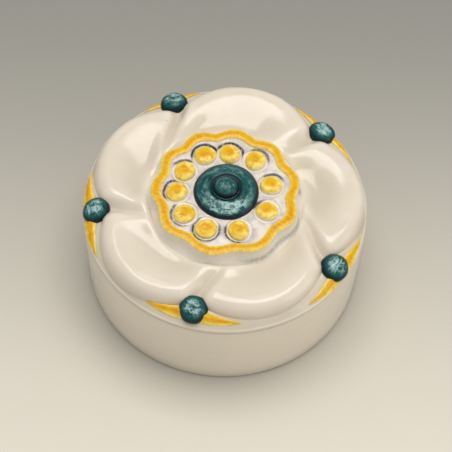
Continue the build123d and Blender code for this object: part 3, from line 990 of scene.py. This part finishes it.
class SEALBOX_OT_rosette_beads(bpy.types.Operator):
    """Ten yellow beads, each a little different, standing in the sockets of the disc."""

    bl_idname = "seal_box.rosette_beads"
    bl_label = "Rosette beads"

    def execute(self, context):
        rng = np.random.default_rng(SEED + 6)
        material = yellow_material()
        for node in ROSETTE_BEADS:
            low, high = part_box(node)
            size = (high.x - low.x) / 2.0
            radii, heights, turn, out = dome_rings(size, low.z, 0.70 * (high.z - low.z), 64, 22, 2.7)
            phase = rng.uniform(0.0, math.tau, 3)
            oval = 0.035 * np.cos(2.0 * turn + phase[0]) + 0.018 * np.cos(3.0 * turn + phase[1])
            points = polar_grid(radii * (0.975 + oval), heights, turn)
            dimple = 0.10 * MM * bell(radii / size, 0.0, 0.42) * (heights > low.z)
            points[..., 2] -= dimple * (1.0 + 0.4 * np.cos(turn + phase[2]))
            shift = 0.22 * np.cos(turn - phase[2])
            marks = {
                "thick": 0.75 * smooth_step((0.74 + shift - out) / 0.45),
                "edge": smooth_step((out - 0.38 + 0.8 * shift) / 0.35),
                "slip": 0.85 * smooth_step((out - 0.93 + 0.25 * shift) / 0.09),
                "brush": points / (1.4 * MM) + phase[0],
            }
            points[..., :2] += box_centre(node)[:2]
            name = node.replace("bead_", "bead_glazed_")
            settle(make_mesh(name, points, material, marks), "lid", "yellow_glaze", node)
        return {"FINISHED"}


def brush_vector(points, out, pull):
    """Coordinates for streaks round the middle: slow round the ring and quick across it."""
    away = np.maximum(np.linalg.norm(points[..., :2], axis=-1, keepdims=True), 1e-6)
    across = np.broadcast_to(out * 7.0, away.shape[:2])[..., None]
    return np.concatenate([points[..., :2] / away * pull, across], axis=-1)


class SEALBOX_OT_boss(bpy.types.Operator):
    """Teal boss, a full dome with a sunk ring, and the small nub that stands in it."""

    bl_idname = "seal_box.boss"
    bl_label = "Boss and nub"

    def execute(self, context):
        material = teal_material()
        turn = full_turn(160)
        size, base, top = BOSS_HIGH.x, BOSS_LOW.z, BOSS_HIGH.z
        share = column(0.03, 1.0, 70)
        ring = BOSS_RING_SHARE
        seat = smooth_step((ring + 0.03 - share) / 0.08)
        dome = base + (top - base) * (1.0 - share**3.4) ** 0.62
        height = dome - BOSS_RING_DEPTH * np.maximum(bell(share, ring, 0.085), 0.8 * seat)
        egg = 1.0 - 0.02 * (1.0 - np.cos(turn - 0.3)) - 0.008 * np.cos(3.0 * turn)
        rings = np.concatenate([
            polar_grid(size * share * egg, np.maximum(height, base), turn),
            polar_grid(size * BOSS_UNDER * egg, base, turn),
        ])
        out = np.concatenate([share, np.ones_like(BOSS_UNDER)])
        # Painted highlight: a pale patch on the front of the dome, added to a pale ring of broken glaze all
        # round
        front_highlight = (0.5 + 0.5 * np.cos(turn + math.pi / 2.0)) ** 5
        lit = 0.34 * bell(out, 0.72, 0.15) + 1.5 * bell(out, 0.70, 0.19, 4) * front_highlight
        marks = {
            "crest": np.clip(lit, 0.0, 1.0),
            "pool": np.clip(smooth_step((out - 0.86) / 0.09) + bell(out, ring, 0.10), 0.0, 1.0),
            "brush": brush_vector(rings, out, 1.6),
        }
        settle(make_mesh("boss", rings, material, marks), "lid", "teal_glaze", "centre_boss")
        base = NUB_LOW.z - NUB_SINK
        radii, heights, turn, out = dome_rings(NUB_HIGH.x, base, NUB_HIGH.z - base, 72, 26, 2.1)
        lean = 1.0 + 0.03 * np.cos(2.0 * turn + 0.7)
        points = polar_grid(radii * 0.94 * lean, heights, turn)
        marks = {
            "crest": 0.34 * smooth_step((0.84 - out) / 0.2),
            "pool": smooth_step((out - 0.78) / 0.1),
            "brush": brush_vector(points, out, 1.2) + 4.0,
        }
        settle(make_mesh("nub", points, material, marks), "lid", "teal_glaze", "centre_nub")
        return {"FINISHED"}


class SEALBOX_OT_rim_beads(bpy.types.Operator):
    """Five teal beads on the ledge, pressed a little out of round and tilted outwards."""

    bl_idname = "seal_box.rim_beads"
    bl_label = "Rim beads"

    def execute(self, context):
        rng = np.random.default_rng(SEED + 8)
        material = teal_material()
        turn = full_turn(96)
        slope = column(0.03, 0.97, 44) * math.pi
        out = np.sin(slope)
        for number, node in enumerate(RIM_BEADS):
            x, y, _ = box_centre(node)
            phase = rng.uniform(0.0, math.tau, 2)
            corners = 0.012 * np.cos(6.0 * turn + phase[0]) + 0.015 * np.cos(3.0 * turn + phase[1])
            wide = RIM_BEAD_RADIUS * (0.98 + corners * out)
            points = polar_grid(wide * out, RIM_BEAD_HEIGHT * np.cos(slope), turn)
            tilt = Matrix.Rotation(azimuth(node), 3, "Z") @ Matrix.Rotation(RIM_BEAD_TILT, 3, "Y")
            points = points @ np.array(tilt).T + (x, y, ledge_height(np.hypot(x, y)) - RIM_BEAD_SINK)
            marks = {
                "crest": smooth_step((0.82 - out) / 0.40) * (np.cos(slope) > 0.0),
                "pool": smooth_step((out - 0.74) / 0.18),
                "brush": polar_grid(out * 1.1, 3.0 * number, turn) * (3.2, 1.1, 1.0) + phase[0],
            }
            name = node.replace("bead_", "bead_glazed_")
            settle(make_mesh(name, points, material, marks), "lid", "teal_glaze", node)
        return {"FINISHED"}


class SEALBOX_OT_leaves(bpy.types.Operator):
    """Ten keeled leaves that lie on the ledge and taper to a point either side of each rim bead."""

    bl_idname = "seal_box.leaves"
    bl_label = "Leaves"

    def execute(self, context):
        rng = np.random.default_rng(SEED + 9)
        material = yellow_material()
        for number in range(len(RIM_BEADS)):
            for side, name in ((1, "left"), (-1, "right")):
                points, marks = self.leaf(number, side, int(rng.integers(1, 10000)))
                label = "%d_%s" % (number + 1, name)
                piece = make_mesh("leaf_glazed_" + label, points, material, marks)
                settle(piece, "lid", "yellow_glaze", "leaf_" + label)
        return {"FINISHED"}

    def leaf(self, number, side, seed):
        """One leaf: a ridge of triangular section, wide at the bead, along an arc of the ledge.

        Its columns run the other way on the right, so that its faces point outwards too.
        """
        size = sizes()
        along = column(0.0, 1.0, 48)
        span = LEAF_TIP_TURNS[number] - LEAF_ROOT_TURN
        turn = azimuth(RIM_BEADS[number]) + side * np.radians(LEAF_ROOT_TURN + span * along)
        start, end = LEAF_ROOT_RADII[number], LEAF_TIP_RADII[number]
        middle = start + (end - start) * along**0.8
        taper = (1.0 - along) * (1.0 + 0.15 * np.sin(math.pi * along))
        half = size.leaf_width * LEAF_ROOT_WIDTHS[number] / 2.0 * taper + LEAF_LEAST
        blunt = np.clip((1.0 - along) / 0.06, 0.0, 1.0) ** 0.5
        rise = size.leaf_height * (0.35 + 0.65 * (1.0 - along)) * blunt
        section = full_turn(24)[:, ::side]
        across = np.cos(section)
        keel = (1.0 - np.abs(across)) ** 0.85
        above = np.sin(section) >= 0.0
        radius = np.minimum(middle + across * half, BOX_RADIUS - LEAF_LEAST)
        lift = np.where(above, rise * keel, -LEAF_KEEL_BELOW * keel)
        wave = waves(grid(along * 12.0 * MM, across * MM, 0.0), 5.0 * MM, seed)
        height = ledge_height(radius) + LEAF_LIFT + lift * (1.0 + 0.12 * wave)
        marks = {
            "thick": smooth_step((0.8 - np.abs(across)) / 0.7) * above * (1.0 - 0.5 * along),
            "edge": smooth_step((np.abs(across) - 0.3) / 0.45) + 0.4 * smooth_step((along - 0.7) / 0.3),
            "slip": 0.5 * smooth_step((np.abs(across) - 0.88) / 0.1) * (1.0 - along),
            "brush": grid(along * 4.0, across * 1.3, number + side),
        }
        return polar_grid(radius, height, turn), marks


def add_light(name, place, size, power, tint):
    """Rectangular area light at a place, turned to the light's aim."""
    data = bpy.data.lights.new(name, "AREA")
    data.shape = "RECTANGLE"
    data.size, data.size_y = size
    data.energy = power
    data.color = tint
    lamp = bpy.data.objects.new(name, data)
    lamp.location = place
    lamp.rotation_euler = (LIGHT_AIM - Vector(place)).to_track_quat("-Z", "Y").to_euler()
    bpy.context.scene.collection.objects.link(lamp)


class SEALBOX_OT_stage(bpy.types.Operator):
    """Plain pale floor, soft studio light and the camera."""

    bl_idname = "seal_box.stage"
    bl_label = "Stage"

    def execute(self, context):
        scene = context.scene
        mesh = bpy.data.meshes.new("floor")
        corners = [(x * FLOOR_REACH, y * FLOOR_REACH, 0.0) for x, y in ((-1, -1), (1, -1), (1, 1), (-1, 1))]
        mesh.from_pydata(corners, [], [(0, 1, 2, 3)])
        mesh.materials.append(floor_material())
        floor = bpy.data.objects.new("floor", mesh)
        scene.collection.objects.link(floor)
        world = bpy.data.worlds.new("studio")
        scene.world = world
        world.use_nodes = True
        background = world.node_tree.nodes["Background"]
        background.inputs["Color"].default_value = WORLD_COLOUR
        background.inputs["Strength"].default_value = WORLD_STRENGTH
        for light in LIGHTS:
            add_light(*light)
        back = Vector((0.0, -math.cos(CAMERA_ELEVATION), math.sin(CAMERA_ELEVATION)))
        data = bpy.data.cameras.new("camera")
        data.lens = CAMERA_LENS
        data.clip_start = 0.05
        camera = bpy.data.objects.new("camera", data)
        camera.location = CAMERA_AIM + back * CAMERA_DISTANCE
        look = (-back).to_track_quat("-Z", "Y").to_matrix().to_4x4()
        camera.rotation_euler = (look @ Matrix.Rotation(CAMERA_ROLL, 4, "Z")).to_euler()
        scene.collection.objects.link(camera)
        scene.camera = camera
        scene.view_settings.view_transform = "Standard"
        return {"FINISHED"}


class SEALBOX_PT_panel(bpy.types.Panel):
    """Lists the sizes, the colours and the pieces of the box."""

    bl_label = "Seal Paste Box"
    bl_idname = "SEALBOX_PT_panel"
    bl_space_type = "VIEW_3D"
    bl_region_type = "UI"
    bl_category = "Seal Box"

    def draw(self, context):
        for group in (context.scene.seal_box_sizes, context.scene.seal_box_glazes):
            box = self.layout.box()
            for key in group.__annotations__:
                box.prop(group, key)
        for operator in OPERATORS:
            self.layout.operator(operator.bl_idname)


OPERATORS = (
    SEALBOX_OT_stage,
    SEALBOX_OT_dish,
    SEALBOX_OT_paste,
    SEALBOX_OT_lid,
    SEALBOX_OT_disc,
    SEALBOX_OT_band,
    SEALBOX_OT_rosette_beads,
    SEALBOX_OT_boss,
    SEALBOX_OT_rim_beads,
    SEALBOX_OT_leaves,
)
CLASSES = (SealBoxSizes, SealBoxGlazes, *OPERATORS, SEALBOX_PT_panel)


def register():
    """Register the classes and hang the two groups of settings on the scene."""
    for item in CLASSES:
        bpy.utils.register_class(item)
    bpy.types.Scene.seal_box_sizes = bpy.props.PointerProperty(type=SealBoxSizes)
    bpy.types.Scene.seal_box_glazes = bpy.props.PointerProperty(type=SealBoxGlazes)


def unregister():
    """Take the settings and the classes away again."""
    del bpy.types.Scene.seal_box_glazes
    del bpy.types.Scene.seal_box_sizes
    for item in reversed(CLASSES):
        bpy.utils.unregister_class(item)


def main():
    """Make every piece in order."""
    register()
    for operator in OPERATORS:
        group, name = operator.bl_idname.split(".")
        getattr(getattr(bpy.ops, group), name)()
    bpy.context.view_layer.update()


if __name__ == "__main__":
    main()
